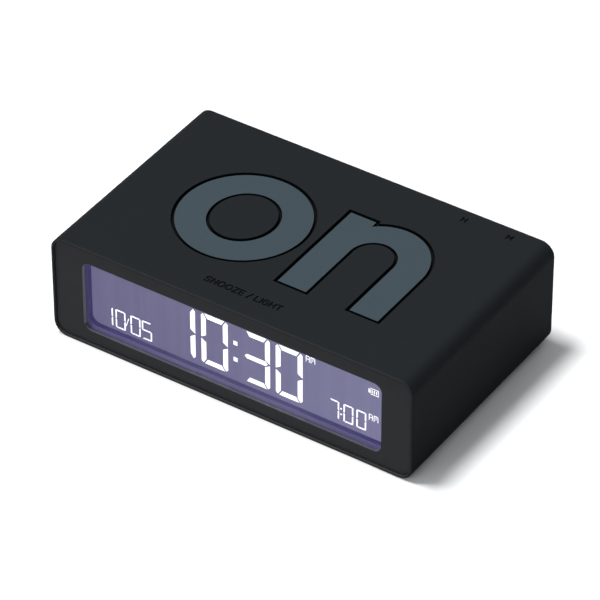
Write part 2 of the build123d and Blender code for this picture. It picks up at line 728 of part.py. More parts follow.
def buzzer_wires():
    made = []
    for dx, z in ((-0.8, 20.35), (0.8, 20.35)):
        x = BUZZER_X + dx
        points = [
            (x, BUZZER_Y - 4.0, z + 0.35),
            (x, 0.0, z + 0.35),
            (x, -9.0, z - 0.1),
            (x, BOARD_BACK_Y + 3.5, MID + 6.8),
            (x, BOARD_BACK_Y, MID + 6.6),
        ]
        made.append(wire(points, 0.3, 1.0))
    return made


# ---- rear buttons -----------------------------------------------------------------------
def button_board():
    board = slab(BUTTON_BOARD, (BUTTON_BOARD_Y, SWITCH_Y), x=BUTTON_BOARD_X)
    through = (BUTTON_BOARD_Y - 1, SWITCH_Y + 1)
    for x, z in POSTS:
        board -= rod(0.7, through, x, z)
    for x, z in COVER_SCREWS:
        board -= rod(BOSS_R + 0.3, through, x, z)
    return board


def switch_housings():
    made = []
    for x, z in BUTTONS.values():
        half = SWITCH_SIDE / 2
        body = block((x - half, x + half), (SWITCH_Y, SWITCH_TOP_Y), (z - half, z + half))
        body -= rod(2.3, (SWITCH_Y + 0.6, SWITCH_TOP_Y - 0.6), x, z)
        body -= rod(PLUNGER_R + 0.1, (SWITCH_Y + 0.6, SWITCH_TOP_Y + 1), x, z)
        made.append(body)
    return made


def button_cap(x, z):
    """A rear button: a pill with a flange that keeps it behind the cover."""
    face = COVER_FACE + CAP_PROUD
    neck = LEDGE_REAR - 0.08
    cap = pill(CAP, (neck - FLANGE_THICK, face), x, z)
    cap = fillet(cap.faces().sort_by(Axis.Y)[-1].edges(), 0.4)
    cap += pill(FLANGE, (neck - FLANGE_THICK, neck), x, z)
    return cap - pill((2.6, 0.5), (face - 0.25, face + 1), x, z)


def plunger(x, z):
    stem = rod(PLUNGER_R, (PLUNGER_TIP_Y - PLUNGER_LONG, PLUNGER_TIP_Y), x, z)
    return fillet(stem.faces().sort_by(Axis.Y)[0].edges(), 0.3)


def snap_dome(x, z):
    """The sprung metal dome that a plunger meets at the end of its travel."""
    base_y = SWITCH_Y + 0.62
    rise = PLUNGER_TIP_Y - PLUNGER_LONG - PRESS - 0.05 - base_y
    radius = (rise**2 + 2.2**2) / (2 * rise)
    centre = Pos(x, base_y + rise - radius, z)
    shell = centre * Sphere(radius) - centre * Sphere(radius - 0.12)
    return shell & block((x - 5, x + 5), (base_y, base_y + 4), (z - 5, z + 5))


def ribbon_cable():
    """The flat cable from the main board to the button board, over the bulkhead."""
    x = (30.4, 35.0)
    thick = 0.3
    y0, y1 = BOARD_BACK_Y, BUTTON_BOARD_Y
    level = 20.6
    run = block(x, (y0 + 1.5, y1 - 1.2), (level, level + thick))
    front = block(x, (y0 + 1.5, y0 + 1.5 + thick), (MID + 6.6, level + thick))
    back = block(x, (y1 - 1.2 - thick, y1 - 1.2), (MID + 6.6, level + thick))
    cable = run + front + back
    corners = cable.edges().filter_by(Axis.X)
    outer = corners.filter_by(lambda e: e.center().Z > level + thick - 0.01)
    cable = fillet(outer, 0.28)
    cable += block(x, (y0, y0 + 1.5), (MID + 5.6, MID + 7.6))
    cable += block(x, (y0 + 1.4, y0 + 1.8), (MID + 5.6, MID + 7.6))
    cable += block(x, (y1 - 1.2, y1), (MID + 5.6, MID + 7.6))
    return cable + block(x, (y1 - 1.5, y1 - 1.1), (MID + 5.6, MID + 7.6))


# ---- the assembly -----------------------------------------------------------------------
def assembly():
    """Every sub-part by the name of its node."""
    glass_w, glass_h = GLASS_SIZE
    guide_w, guide_h = GUIDE_SIZE
    parts = {
        "sleeve": sleeve(),
        "front_bezel": front_bezel(),
        "lens_tape": lens_tape(),
        "display_lens": display_lens(),
        "rear_cover": rear_cover(),
        "battery_door": battery_door(),
        "chassis": chassis(),
        "rear_cover_screws": rear_cover_screws(),
        "display_spacer": display_spacer(),
        "polariser_front": polariser_front(),
        "lcd_glass_front": plate(glass_w, glass_h, (DISPLAY_Y, REAR_GLASS_Y)),
        "lcd_glass_rear": plate(glass_w, REAR_GLASS_HIGH, (REAR_GLASS_Y, REAR_FILM_Y)),
        "polariser_rear": plate(guide_w, guide_h, (REAR_FILM_Y, GUIDE_Y)),
        "light_guide": plate(guide_w, guide_h, (GUIDE_Y, GUIDE_BACK_Y)),
        "reflector_sheet": plate(guide_w, guide_h, (GUIDE_BACK_Y, GUIDE_BACK_Y + REFLECTOR)),
        "backlight_leds": backlight_leds(),
        "zebra_strips": zebra_strips(),
        "lcd_holder": lcd_holder(),
        "main_board": main_board(),
        "board_screws": board_screws(),
        "clock_chip": clock_chip(),
        "quartz_crystal": quartz_crystal(),
        "chip_capacitors": chip_capacitors(),
        "chip_resistors": chip_resistors(),
        "reservoir_capacitor": reservoir_capacitor(),
        "tilt_can": tilt_can(),
        "tilt_base": tilt_base(),
        "tilt_ball": tilt_ball(),
        "buzzer_plate": buzzer_plate(),
        "buzzer_ceramic": buzzer_ceramic(),
        "buzzer_wires": buzzer_wires(),
        "touch_plates": touch_plates(),
        "touch_contacts": touch_contacts(),
        "cell_front": cell(CELL_FRONT_Y, PLATE_IN_RIGHT, -1),
        "cell_rear": cell(CELL_REAR_Y, PLATE_IN_LEFT, 1),
        "contact_bridge": contact_bridge(),
        "contact_positive": contact_positive(),
        "contact_negative": contact_negative(),
        "contact_springs": contact_springs(),
        "wire_positive": power_wire(CELL_FRONT_Y, 23.0),
        "wire_negative": power_wire(CELL_REAR_Y, 18.5),
        "button_board": button_board(),
        "switch_housings": switch_housings(),
        "ribbon_cable": ribbon_cable(),
    }
    parts.update(pads())
    for name, (x, z) in BUTTONS.items():
        parts["button_" + name] = button_cap(x, z)
        parts["plunger_" + name] = plunger(x, z)
        parts["snap_dome_" + name] = snap_dome(x, z)
    return parts


def main():
    os.makedirs("parts", exist_ok=True)
    for name, shape in assembly().items():
        if isinstance(shape, list):
            shape = Compound(children=[solid for s in shape for solid in s.solids()])
        export_step(shape, f"parts/{name}.step")


main()
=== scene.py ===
"""Travel alarm clock: the finishes, the display's figures and the room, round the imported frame.

Everything is in metres in the frame's own axes: +X to the right of the display, +Y to the rear
and +Z up, with the origin in the middle of the footprint.
"""

from math import cos, pi, radians, sin

import bmesh
import bpy
from mathutils import Matrix, Vector


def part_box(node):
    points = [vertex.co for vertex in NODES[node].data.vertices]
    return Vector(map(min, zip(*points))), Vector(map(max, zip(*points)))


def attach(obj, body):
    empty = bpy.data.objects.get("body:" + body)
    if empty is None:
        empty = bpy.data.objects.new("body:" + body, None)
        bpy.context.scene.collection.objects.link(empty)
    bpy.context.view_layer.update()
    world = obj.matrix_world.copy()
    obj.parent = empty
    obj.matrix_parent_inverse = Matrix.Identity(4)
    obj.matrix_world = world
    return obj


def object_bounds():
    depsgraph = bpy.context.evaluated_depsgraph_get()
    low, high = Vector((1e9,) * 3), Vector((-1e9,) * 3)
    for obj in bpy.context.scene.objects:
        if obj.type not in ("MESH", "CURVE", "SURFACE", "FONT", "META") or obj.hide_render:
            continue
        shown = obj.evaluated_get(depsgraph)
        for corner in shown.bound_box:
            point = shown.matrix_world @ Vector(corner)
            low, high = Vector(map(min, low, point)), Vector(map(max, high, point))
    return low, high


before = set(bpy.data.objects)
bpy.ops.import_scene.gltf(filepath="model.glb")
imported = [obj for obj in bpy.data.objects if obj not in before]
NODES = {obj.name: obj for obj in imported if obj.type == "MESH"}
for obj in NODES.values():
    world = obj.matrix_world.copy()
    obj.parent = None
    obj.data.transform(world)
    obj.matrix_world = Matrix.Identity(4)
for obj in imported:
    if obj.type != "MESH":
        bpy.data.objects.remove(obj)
cad_low, cad_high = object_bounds()

MM = 0.001
MID = (cad_low.z + cad_high.z) / 2  # the middle plane: the clock works either way up
HALF_HIGH = (cad_high.z - cad_low.z) / 2

# sizes of the CAD pieces that the finishes follow
WINDOW_HALF_WIDE, WINDOW_HALF_HIGH = 34.4 * MM, 8.25 * MM
SLEEVE_CORNER = 3.1 * MM  # radius of the casing tube's long edges
SLEEVE_RIM = 0.60 * MM  # thickness of its rim round the bezel
SLEEVE_MOUTH = 2.6 * MM  # depth of the rebate behind the rim
BEZEL_CORNER = 2.38 * MM
CELL_LONG = 44.5 * MM

# colours of the main finishes
CASING = (0.0090, 0.0118, 0.0143)
SLATE = (0.0425, 0.0615, 0.0755)
BEZEL = (0.0235, 0.0242, 0.0268)
# painted shade: near-black laid in the engraved letters, the letter pockets and down the pads' walls
PAINTED_SHADE = (0.0015, 0.0016, 0.0018)
VIOLET = (0.085, 0.075, 0.205)


def deselect():
    if bpy.context.mode != "OBJECT":
        bpy.ops.object.mode_set(mode="OBJECT")
    bpy.ops.object.select_all(action="DESELECT")


# ---- the room -----------------------------------------------------------------------------
def direction(azimuth, elevation):
    """The unit vector towards a place round the clock; azimuth 0 is in front, 90 to the right."""
    a, e = radians(azimuth), radians(elevation)
    return Vector((sin(a) * cos(e), -cos(a) * cos(e), sin(e)))


def add_camera():
    """The camera looks down on the clock from the front right."""
    azimuth, elevation, roll = 33.5794, 38.3689, -0.0942
    place = Vector((0.37244, -0.56186, 0.54271))
    back = direction(azimuth, elevation)
    right = Vector((cos(radians(azimuth)), sin(radians(azimuth)), 0))
    up = back.cross(right)
    turn = Matrix.Rotation(radians(roll), 3, back)
    axes = Matrix((turn @ right, turn @ up, back)).transposed()
    data = bpy.data.cameras.new("camera")
    data.sensor_width = 36.0
    data.lens = 264.857
    data.clip_start, data.clip_end = 0.01, 20.0
    camera = bpy.data.objects.new("camera", data)
    camera.matrix_world = Matrix.Translation(place) @ axes.to_4x4()
    bpy.context.scene.collection.objects.link(camera)
    bpy.context.scene.camera = camera


def add_softbox(name, azimuth, elevation, distance, size, power):
    """A square white softbox that faces the clock."""
    data = bpy.data.lights.new(name, "AREA")
    data.shape = "SQUARE"
    data.size = size
    data.energy = power
    light = bpy.data.objects.new(name, data)
    towards = direction(azimuth, elevation)
    light.location = towards * distance
    light.rotation_euler = towards.to_track_quat("Z", "Y").to_euler()
    bpy.context.scene.collection.objects.link(light)


def add_world():
    """White to the eye, and a dimmer soft white as a light."""
    world = bpy.data.worlds.new("studio")
    world.use_nodes = True
    tree = world.node_tree
    tree.nodes.clear()
    seen = tree.nodes.new("ShaderNodeBackground")
    seen.inputs["Color"].default_value = (1, 1, 1, 1)
    seen.inputs["Strength"].default_value = 1.0
    lit = tree.nodes.new("ShaderNodeBackground")
    lit.inputs["Color"].default_value = (0.95, 0.98, 1.0, 1)
    lit.inputs["Strength"].default_value = 0.25
    mix = tree.nodes.new("ShaderNodeMixShader")
    path = tree.nodes.new("ShaderNodeLightPath")
    out = tree.nodes.new("ShaderNodeOutputWorld")
    tree.links.new(path.outputs["Is Camera Ray"], mix.inputs[0])
    tree.links.new(lit.outputs[0], mix.inputs[1])
    tree.links.new(seen.outputs[0], mix.inputs[2])
    tree.links.new(mix.outputs[0], out.inputs["Surface"])
    bpy.context.scene.world = world


def add_floor():
    """White paper just under the clock."""
    deselect()
    bpy.ops.mesh.primitive_grid_add(x_subdivisions=12, y_subdivisions=12, size=6.0)
    floor = bpy.context.object
    floor.name = "floor"
    just_below = -0.05 * MM
    bpy.ops.transform.translate(value=(0, 0, just_below))
    bpy.ops.object.transform_apply(location=True, rotation=True, scale=True)
    floor_paper()
    floor.data.materials.append(bpy.data.materials["floor_paper"])


def floor_paper():
    """Paper that fades into the white backdrop, close in front of the clock and far away elsewhere.

    It is open from below, and has a hole under the clock that lets light reach the lower face.
    """
    tree, shader = new_material("floor_paper")
    coords = object_coords(tree)
    fibres = add(tree, "ShaderNodeTexNoise", Vector=coords, Scale=900.0, Detail=3.0)
    paper = blend_colours(tree, fibres.outputs["Fac"], (0.955, 0.955, 0.96), (0.99, 0.99, 0.995))
    path = add(tree, "ShaderNodeLightPath")
    bounce = add(tree, "ShaderNodeHueSaturation", Color=paper, Value=0.45).outputs[0]
    seen = blend_colours(tree, path.outputs["Is Camera Ray"], bounce, paper)
    tree.links.new(seen, shader.inputs["Base Color"])
    shader.inputs["Roughness"].default_value = 0.9
    shader.inputs["Specular IOR Level"].default_value = 0.05
    bump(tree, shader, fibres.outputs["Fac"], 0.1, 0.05 * MM)
    white = add(tree, "ShaderNodeEmission", Color=(1.0, 1.0, 1.0), Strength=1.0)
    distance = add(tree, "ShaderNodeVectorMath", {"operation": "LENGTH"}, _0=coords)
    far_off = ramp(tree, distance.outputs["Value"], 0.10, 0.45)
    place = add(tree, "ShaderNodeSeparateXYZ", Vector=coords).outputs
    before_clock = ramp(tree, place[1], cad_low.y - 0.5 * MM, cad_low.y + 1.5 * MM, 0.85, 0.0)
    left_of_shadow = ramp(tree, place[0], 28 * MM, 40 * MM, 1.0, 0.0)
    in_front = maths(tree, "MULTIPLY", before_clock, left_of_shadow)
    fade = maths(tree, "MAXIMUM", far_off, in_front)
    seen_fade = maths(tree, "MULTIPLY", fade, path.outputs["Is Camera Ray"])
    faded = add(tree, "ShaderNodeMixShader", _0=seen_fade, _1=shader.outputs[0], _2=white.outputs[0])
    below = add(tree, "ShaderNodeNewGeometry").outputs["Backfacing"]
    within_x = maths(tree, "LESS_THAN", across(tree, 0), cad_high.x - SLEEVE_CORNER - 0.2 * MM)
    within_y = maths(tree, "LESS_THAN", across(tree, 1), cad_high.y - 1.5 * MM)
    hole = maths(tree, "MULTIPLY", within_x, within_y)
    is_open = maths(tree, "MAXIMUM", below, hole)
    gap = add(tree, "ShaderNodeBsdfTransparent")
    surface = add(tree, "ShaderNodeMixShader", _0=is_open, _1=faded.outputs[0], _2=gap.outputs[0])
    out = next(node for node in tree.nodes if node.type == "OUTPUT_MATERIAL")
    tree.links.new(surface.outputs[0], out.inputs["Surface"])


# ---- shader helpers -----------------------------------------------------------------------
def new_material(name):
    """A material with a Principled BSDF; returns its tree and that shader."""
    material = bpy.data.materials.new(name)
    material.use_nodes = True
    tree = material.node_tree
    tree.nodes.clear()
    shader = tree.nodes.new("ShaderNodeBsdfPrincipled")
    out = tree.nodes.new("ShaderNodeOutputMaterial")
    tree.links.new(shader.outputs["BSDF"], out.inputs["Surface"])
    return tree, shader


def feed(tree, socket, value):
    """Links a socket to an input, or sets a plain value on it."""
    if isinstance(value, bpy.types.NodeSocket):
        tree.links.new(value, socket)
    elif isinstance(value, (tuple, list)) and len(value) == 3 and socket.type == "RGBA":
        socket.default_value = (*value, 1.0)
    else:
        socket.default_value = value


def add(tree, kind, settings=None, **inputs):
    """A node with its settings, and its inputs by name; _0, _1 and _2 are inputs by number."""
    node = tree.nodes.new(kind)
    for key, value in (settings or {}).items():
        setattr(node, key, value)
    for key, value in inputs.items():
        place = int(key[1:]) if key.startswith("_") else key.replace("_", " ")
        feed(tree, node.inputs[place], value)
    return node


def object_coords(tree):
    return add(tree, "ShaderNodeTexCoord").outputs["Object"]


def maths(tree, operation, a, b=0.0, clamp=False):
    settings = {"operation": operation, "use_clamp": clamp}
    return add(tree, "ShaderNodeMath", settings, _0=a, _1=b).outputs[0]


def ramp(tree, value, low, high, to_low=0.0, to_high=1.0):
    """Maps low..high to to_low..to_high smoothly, and holds it outside."""
    settings = {"interpolation_type": "SMOOTHSTEP"}
    node = add(tree, "ShaderNodeMapRange", settings, _0=value, _1=low, _2=high, _3=to_low, _4=to_high)
    return node.outputs[0]


def blend_colours(tree, factor, a, b):
    node = tree.nodes.new("ShaderNodeMix")
    node.data_type = "RGBA"
    feed(tree, node.inputs[0], factor)
    feed(tree, node.inputs[6], a)
    feed(tree, node.inputs[7], b)
    return node.outputs[2]


def new_group(name, inputs, outputs):
    """A shader node group with float or colour sockets; returns its tree, entry and exit."""
    tree = bpy.data.node_groups.new(name, "ShaderNodeTree")
    for socket, default in inputs.items():
        kind = "NodeSocketColor" if isinstance(default, tuple) else "NodeSocketFloat"
        made = tree.interface.new_socket(socket, in_out="INPUT", socket_type=kind)
        made.default_value = (*default, 1.0) if isinstance(default, tuple) else default
    for socket, kind in outputs.items():
        tree.interface.new_socket(socket, in_out="OUTPUT", socket_type=kind)
    return tree, tree.nodes.new("NodeGroupInput").outputs, tree.nodes.new("NodeGroupOutput").inputs


def use_group(tree, name, **inputs):
    node = tree.nodes.new("ShaderNodeGroup")
    node.node_tree = bpy.data.node_groups[name]
    for key, value in inputs.items():
        feed(tree, node.inputs[key.replace("_", " ")], value)
    return node.outputs


# ---- shared effects -----------------------------------------------------------------------
def make_grain_group():
    """The fine texture of a moulded or sprayed skin, with its pits slightly darker."""
    tree, into, out = new_group(
        "moulded grain",
        {"Size": 0.0004, "Evenness": 0.5},
        {"Height": "NodeSocketFloat", "Pits": "NodeSocketFloat"},
    )
    scale = maths(tree, "DIVIDE", 1.0, into["Size"])
    coords = object_coords(tree)
    fine = add(tree, "ShaderNodeTexNoise", Vector=coords, Scale=scale, Detail=3.0, Roughness=0.6)
    cells = add(tree, "ShaderNodeTexVoronoi", {"feature": "SMOOTH_F1"}, Vector=coords, Scale=scale)
    pebbles = maths(tree, "MULTIPLY", cells.outputs["Distance"], into["Evenness"])
    tree.links.new(maths(tree, "ADD", fine.outputs["Fac"], pebbles), out["Height"])
    tree.links.new(ramp(tree, fine.outputs["Fac"], 0.42, 0.58), out["Pits"])


def make_handling_group():
    """Faint cloudiness, finger smudges and a few specks of dust."""
    tree, into, out = new_group(
        "handling",
        {"Colour": (0.02, 0.02, 0.02), "Roughness": 0.6, "Smudge": 0.3, "Dust": 0.1},
        {"Colour": "NodeSocketColor", "Roughness": "NodeSocketFloat"},
    )
    coords = object_coords(tree)
    cloud = add(tree, "ShaderNodeTexNoise", Vector=coords, Scale=55.0, Detail=4.0, Roughness=0.55)
    cloudy = ramp(tree, cloud.outputs["Fac"], 0.35, 0.7)
    speck = add(tree, "ShaderNodeTexVoronoi", Vector=coords, Scale=420.0)
    tiny = ramp(tree, speck.outputs["Distance"], 0.06, 0.12, 1.0, 0.0)
    patches = add(tree, "ShaderNodeTexNoise", Vector=coords, Scale=130.0)
    chosen = ramp(tree, patches.outputs["Fac"], 0.62, 0.7)
    dust = maths(tree, "MULTIPLY", maths(tree, "MULTIPLY", tiny, chosen), into["Dust"])
    lighter = add(tree, "ShaderNodeHueSaturation", Color=into["Colour"], Value=1.25).outputs[0]
    shade = maths(tree, "MULTIPLY", cloudy, into["Smudge"])
    colour = blend_colours(tree, shade, into["Colour"], lighter)
    colour = blend_colours(tree, dust, colour, (0.30, 0.30, 0.31))
    rough = maths(tree, "ADD", into["Roughness"], maths(tree, "MULTIPLY", shade, -0.12))
    rough = maths(tree, "ADD", rough, maths(tree, "MULTIPLY", dust, 0.3), clamp=True)
    tree.links.new(colour, out["Colour"])
    tree.links.new(rough, out["Roughness"])


def make_drawn_group():
    """Long fine scratches along X, as on rolled or drawn metal."""
    tree, into, out = new_group(
        "drawn metal",
        {"Colour": (0.6, 0.6, 0.6), "Roughness": 0.3},
        {"Colour": "NodeSocketColor", "Roughness": "NodeSocketFloat", "Height": "NodeSocketFloat"},
    )
    stretched = add(tree, "ShaderNodeMapping", Vector=object_coords(tree), Scale=(300.0, 9000.0, 9000.0))
    noise = add(tree, "ShaderNodeTexNoise", Vector=stretched.outputs[0], Scale=1.0, Detail=3.0)
    line = noise.outputs["Fac"]
    darker = add(tree, "ShaderNodeHueSaturation", Color=into["Colour"], Value=0.8).outputs[0]
    colour = blend_colours(tree, ramp(tree, line, 0.3, 0.7), darker, into["Colour"])
    rougher = ramp(tree, line, 0.3, 0.7, 0.08, -0.05)
    tree.links.new(colour, out["Colour"])
    tree.links.new(maths(tree, "ADD", into["Roughness"], rougher), out["Roughness"])
    tree.links.new(line, out["Height"])


def bump(tree, shader, height, strength, distance):
    node = add(tree, "ShaderNodeBump", Strength=strength, Distance=distance, Height=height)
    tree.links.new(node.outputs[0], shader.inputs["Normal"])


# ---- finishes -----------------------------------------------------------------------------
def plastic(
    name, colour, roughness, grain=0.35 * MM, depth=0.02 * MM, smudge=0.3, dust=0.1, specular=0.35
):
    """A moulded or sprayed plastic with fine grain and light handling."""
    tree, shader = new_material(name)
    skin = use_group(tree, "moulded grain", Size=grain, Evenness=0.5)
    pitted = tuple(0.9 * part for part in colour)
    base = blend_colours(tree, skin["Pits"], pitted, colour)
    worn = use_group(tree, "handling", Colour=base, Roughness=roughness, Smudge=smudge, Dust=dust)
    tree.links.new(worn["Colour"], shader.inputs["Base Color"])
    tree.links.new(worn["Roughness"], shader.inputs["Roughness"])
    shader.inputs["Specular IOR Level"].default_value = specular
    bump(tree, shader, skin["Height"], 0.35, depth)
    return tree, shader


def metal(name, colour, roughness):
    """Rolled or drawn metal."""
    tree, shader = new_material(name)
    drawn = use_group(tree, "drawn metal", Colour=colour, Roughness=roughness)
    tree.links.new(drawn["Colour"], shader.inputs["Base Color"])
    tree.links.new(drawn["Roughness"], shader.inputs["Roughness"])
    shader.inputs["Metallic"].default_value = 1.0
    bump(tree, shader, drawn["Height"], 0.2, 0.01 * MM)


def clear(name, colour, ior):
    """Clear plastic or glass with faint smears."""
    tree, shader = new_material(name)
    smear = add(tree, "ShaderNodeTexNoise", Vector=object_coords(tree), Scale=90.0, Detail=3.0)
    tree.links.new(ramp(tree, smear.outputs["Fac"], 0.5, 0.8, 0.0, 0.02), shader.inputs["Roughness"])
    shader.inputs["Base Color"].default_value = (*colour, 1.0)
    shader.inputs["Transmission Weight"].default_value = 1.0
    shader.inputs["IOR"].default_value = ior
    shader.inputs["Specular IOR Level"].default_value = 0.25


def lit_film(name, left, right, half_width):
    """The lit face of the display: its tint shifts from one end to the other."""
    tree, shader = new_material(name)
    place = add(tree, "ShaderNodeSeparateXYZ", Vector=object_coords(tree)).outputs[0]
    along = ramp(tree, place, -half_width, half_width)
    tint = blend_colours(tree, along, left, right)
    tall = add(tree, "ShaderNodeMapping", Vector=object_coords(tree), Scale=(900.0, 1.0, 25.0))
    streak = add(tree, "ShaderNodeTexNoise", Vector=tall.outputs[0], Scale=1.0, Detail=2.0)
    patch = ramp(tree, streak.outputs["Fac"], 0.3, 0.7)
    dimmer = add(tree, "ShaderNodeHueSaturation", Color=tint, Value=0.93).outputs[0]
    tree.links.new(blend_colours(tree, patch, dimmer, tint), shader.inputs["Emission Color"])
    shader.inputs["Emission Strength"].default_value = 1.0
    shader.inputs["Base Color"].default_value = (0.01, 0.01, 0.015, 1)
    shader.inputs["Roughness"].default_value = 0.5
    shader.inputs["Specular IOR Level"].default_value = 0.1


def lit_figures(name):
    """The white light of the display's figures."""
    tree, shader = new_material(name)
    fleck = add(tree, "ShaderNodeTexNoise", Vector=object_coords(tree), Scale=900.0)
    white = blend_colours(tree, fleck.outputs["Fac"], (0.94, 0.94, 1.0), (1.0, 1.0, 1.0))
    tree.links.new(white, shader.inputs["Emission Color"])
    shader.inputs["Emission Strength"].default_value = 0.98
    shader.inputs["Base Color"].default_value = (0.8, 0.8, 0.85, 1)
    shader.inputs["Roughness"].default_value = 0.6


def across(tree, axis, middle=0.0):
    """How far a point lies from a middle plane, along one axis, on either side of it."""
    place = add(tree, "ShaderNodeSeparateXYZ", Vector=object_coords(tree)).outputs[axis]
    return maths(tree, "ABSOLUTE", maths(tree, "SUBTRACT", place, middle))


def outward(tree, half_x, half_z, radius):
    """How far a point lies out from the corner centres of a rounded frame about the middle plane."""
    out_x = maths(tree, "MAXIMUM", maths(tree, "SUBTRACT", across(tree, 0), half_x - radius), 0.0)
    out_z = maths(tree, "MAXIMUM", maths(tree, "SUBTRACT", across(tree, 2, MID), half_z - radius), 0.0)
    place = add(tree, "ShaderNodeCombineXYZ", X=out_x, Y=out_z)
    out = add(tree, "ShaderNodeVectorMath", {"operation": "LENGTH"}, _0=place.outputs[0])
    return out.outputs["Value"]


def recolour(tree, shader, mask, colour, roughness=None):
    """Lays another colour over the finish where the mask is one."""
    for name, value in (("Base Color", colour), ("Roughness", roughness)):
        if value is None:
            continue
        socket = shader.inputs[name]
        under = socket.links[0].from_socket
        if name == "Base Color":
            over = blend_colours(tree, mask, under, value)
        else:
            over = add(tree, "ShaderNodeMix", _0=mask, _2=under, _3=value).outputs[0]
        tree.links.new(over, socket)


def sleeve_skin():
    """Soft black skin, with painted shade in its engraved lettering and painted light on the rims at
    the tube's ends.

    The painted shade fills the engraved letters and the floors of the letter pockets.
    """
    tree, shader = plastic(
        "casing_skin", CASING, 0.62, grain=0.14 * MM, smudge=0.12, dust=0.0, specular=0.1
    )
    # painted shade: near-black deeper than 0.1 mm under the faces, in the letters and the pockets
    low = ramp(tree, across(tree, 2, MID), HALF_HIGH - 0.10 * MM, HALF_HIGH - 0.04 * MM, 1.0, 0.0)
    inside = ramp(tree, across(tree, 0), 37.6 * MM, 38.2 * MM, 1.0, 0.0)
    between = ramp(tree, across(tree, 1), 24.0 * MM, 24.4 * MM, 1.0, 0.0)
    shaded_recesses = maths(tree, "MULTIPLY", maths(tree, "MULTIPLY", low, inside), between)
    recolour(tree, shader, shaded_recesses, PAINTED_SHADE, 0.7)
    end = cad_high.y
    # painted light: the rim faces at the tube's ends are painted paler than the rest of the skin
    rim = ramp(tree, across(tree, 1), end - 0.25 * MM, end - 0.08 * MM)
    recolour(tree, shader, rim, (0.0205, 0.0220, 0.0240))
    # painted light: the rebate's walls inside the rim, seen in the seam round the bezel, are painted
    # pale
    from_corner = outward(tree, cad_high.x, HALF_HIGH, SLEEVE_CORNER)
    inner = SLEEVE_CORNER - SLEEVE_RIM
    within = ramp(tree, from_corner, inner, inner + 0.06 * MM, 1.0, 0.0)
    back = end - SLEEVE_MOUTH
    mouth = ramp(tree, across(tree, 1), back - 0.1 * MM, back + 0.1 * MM)
    recolour(tree, shader, maths(tree, "MULTIPLY", within, mouth), (0.045, 0.047, 0.050))


def pad_skin():
    """Slate rubber on top, with painted shade where the pad's wall goes down into its pocket."""
    tree, shader = plastic(
        "letter_pad_skin", SLATE, 0.62, grain=0.14 * MM, smudge=0.1, dust=0.0, specular=0.1
    )
    # painted shade: near-black down the pad's wall into its pocket
    wall = ramp(tree, across(tree, 2, MID), HALF_HIGH - 0.18 * MM, HALF_HIGH - 0.12 * MM, 1.0, 0.0)
    recolour(tree, shader, wall, PAINTED_SHADE, 0.7)


def bezel_skin():
    """Satin black frame, with painted light from the display on the cut edge of its window,
    and a painted highlight on its rounded outer edge.
    """
    tree, shader = plastic(
        "bezel_plastic", BEZEL, 0.5, grain=0.14 * MM, smudge=0.1, dust=0.0, specular=0.2
    )
    # painted light from the display on the window's cut walls: pale grey, palest on the upright ends,
    # and violet deeper in towards the lens
    near, past = 0.02 * MM, 0.1 * MM
    wide = ramp(tree, across(tree, 0), WINDOW_HALF_WIDE + near, WINDOW_HALF_WIDE + past, 1.0, 0.0)
    high = ramp(tree, across(tree, 2, MID), WINDOW_HALF_HIGH + near, WINDOW_HALF_HIGH + past, 1.0, 0.0)
    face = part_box("front_bezel")[0].y
    deep = add(tree, "ShaderNodeSeparateXYZ", Vector=object_coords(tree)).outputs[1]
    behind = ramp(tree, deep, face + 0.01 * MM, face + 0.05 * MM)
    cut = maths(tree, "MULTIPLY", maths(tree, "MULTIPLY", wide, high), behind)
    level = ramp(tree, across(tree, 0), 33.6 * MM, 34.2 * MM, 1.0, 0.0)
    towards_lens = maths(tree, "MULTIPLY", ramp(tree, deep, face + 0.30 * MM, face + 0.55 * MM), level)
    upright = ramp(tree, across(tree, 0), 34.2 * MM, 34.35 * MM)
    pale = blend_colours(tree, upright, (0.105, 0.105, 0.118), (0.33, 0.33, 0.36))
    tint = blend_colours(tree, towards_lens, pale, (0.082, 0.078, 0.143))
    recolour(tree, shader, cut, tint, 0.25)
    # painted highlight on the bezel's rounded outer edge
    bezel_low, bezel_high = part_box("front_bezel")
    half_x, half_z = (bezel_high.x - bezel_low.x) / 2, (bezel_high.z - bezel_low.z) / 2
    from_corner = outward(tree, half_x, half_z, BEZEL_CORNER)
    rounded = ramp(tree, from_corner, BEZEL_CORNER - 0.22 * MM, BEZEL_CORNER - 0.10 * MM)
    recolour(tree, shader, rounded, (0.090, 0.091, 0.096))


def violet_painted_glow():
    """Violet plastic with a painted glow for the display's light on it, most in its middle and in front.
    """
    tree, shader = plastic("violet_plastic", VIOLET, 0.45, smudge=0.1, dust=0.0, specular=0.2)
    # painted glow: stands in for the display's light on the spacer; brighter mid-way and on its front
    # face
    vary = add(tree, "ShaderNodeTexNoise", Vector=object_coords(tree), Scale=120.0, Detail=2.0)
    glow = blend_colours(tree, vary.outputs["Fac"], (0.019, 0.016, 0.056), (0.024, 0.020, 0.068))
    middle = ramp(tree, across(tree, 0), 12.0 * MM, 32.0 * MM, 1.0, 0.0)
    glow = blend_colours(tree, middle, glow, (0.046, 0.043, 0.088))
    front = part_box("display_spacer")[0].y
    deep = add(tree, "ShaderNodeSeparateXYZ", Vector=object_coords(tree)).outputs[1]
    behind_lens = ramp(tree, deep, front + 0.01 * MM, front + 0.04 * MM, 1.0, 0.0)
    low_face = ramp(tree, across(tree, 0), 33.4 * MM, 34.3 * MM, 1.0, 0.0)
    edge_glow = blend_colours(tree, low_face, (0.045, 0.041, 0.098), (0.085, 0.077, 0.165))
    edge_glow = blend_colours(tree, middle, edge_glow, (0.115, 0.108, 0.190))
    glow = blend_colours(tree, behind_lens, glow, edge_glow)
    tree.links.new(glow, shader.inputs["Emission Color"])
    shader.inputs["Emission Strength"].default_value = 1.0


